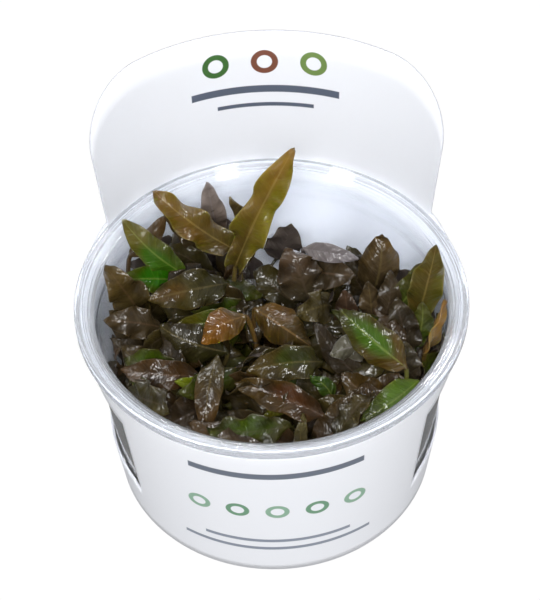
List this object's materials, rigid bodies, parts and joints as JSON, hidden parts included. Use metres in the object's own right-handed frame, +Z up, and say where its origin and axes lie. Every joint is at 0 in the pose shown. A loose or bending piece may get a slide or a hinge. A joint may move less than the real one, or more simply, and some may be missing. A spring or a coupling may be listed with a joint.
{
  "type": "cryptocoryne wendtii in its culture cup",
  "caption": "Small water plants with dark olive, wavy lance leaves on thin stalks, rooted in gel in a clear cup with a white board sleeve raised into a card behind.",
  "frame": {"origin": "middle of the cup's flat underside", "axes": "+Z up, -Y the front that the plain side of the sleeve faces, +X to the right as seen from the front; the raised card is at the back, +Y"},
  "size_m": [0.1, 0.105, 0.1014],
  "materials": {
    "clear_plastic": "moulded clear polypropylene, smooth, with turned ridges on the lip",
    "white_board": "white coated paperboard, satin print face",
    "gel": "pale agar growing gel, wet and glossy",
    "stem": "pale green-brown stem, wet",
    "leaf_olive": "dark olive leaf, wet and glossy, with a pale midrib",
    "leaf_brown": "olive-brown leaf, wet and glossy",
    "leaf_dark": "very dark brown leaf, wet and glossy",
    "leaf_green": "bright green leaf, wet and glossy, light comes through it",
    "leaf_golden": "golden olive leaf with reddish veins, wet and glossy",
    "leaf_amber": "amber to olive leaf with a pale fold, wet",
    "leaf_grey": "leaf whose wet face mirrors the grey-violet light"
  },
  "bodies": {
    "root": {"cup": "clear_plastic", "sleeve": "white_board", "growing_gel": "gel", "crown_back_left": "stem", "crown_left": "stem", "crown_front_left": "stem", "crown_centre": "stem", "crown_front": "stem", "crown_front_right": "stem", "crown_right": "stem", "crown_back_right": "stem", "leaf_tall_golden": "leaf_golden", "leaf_left_golden": "leaf_golden", "leaf_grey_upright": "leaf_grey", "leaf_slender_back": "leaf_brown", "leaf_back_dark": "leaf_brown", "leaf_olive_broad": "leaf_olive", "leaf_bright_green": "leaf_green", "leaf_back_brown": "leaf_brown", "leaf_green_patch": "leaf_green", "leaf_left_speckled": "leaf_brown", "leaf_left_low": "leaf_olive", "leaf_left_wide": "leaf_brown", "leaf_dark_left": "leaf_olive", "leaf_dark_dome": "leaf_olive", "leaf_brown_band": "leaf_brown", "leaf_yellow_spot": "leaf_green", "leaf_olive_low": "leaf_olive", "leaf_hanging": "leaf_olive", "leaf_front_left_dark": "leaf_dark", "leaf_green_slip": "leaf_green", "leaf_amber": "leaf_amber", "leaf_amber_right": "leaf_amber", "leaf_olive_centre_b": "leaf_olive", "leaf_dark_broad": "leaf_dark", "leaf_olive_centre": "leaf_olive", "leaf_brown_centre": "leaf_brown", "leaf_yellow_green": "leaf_green", "leaf_brown_front": "leaf_brown", "leaf_small_front": "leaf_olive", "leaf_front_right": "leaf_brown", "leaf_small_green": "leaf_green", "leaf_front_right_low": "leaf_brown", "leaf_green_lance": "leaf_green", "leaf_grey_green": "leaf_grey", "leaf_bottom_green": "leaf_green", "leaf_dark_right": "leaf_dark", "leaf_brown_right_low": "leaf_brown", "leaf_right_amber": "leaf_amber", "leaf_right_olive": "leaf_golden", "leaf_dark_green": "leaf_green", "leaf_dark_right_b": "leaf_dark", "leaf_green_right": "leaf_green", "leaf_small_dark": "leaf_dark", "leaf_domed": "leaf_olive", "leaf_dark_broad_right": "leaf_brown", "leaf_grey_curl": "leaf_grey", "leaf_red_brown": "leaf_brown", "leaf_olive_small": "leaf_olive"}
  },
  "joints": []
}
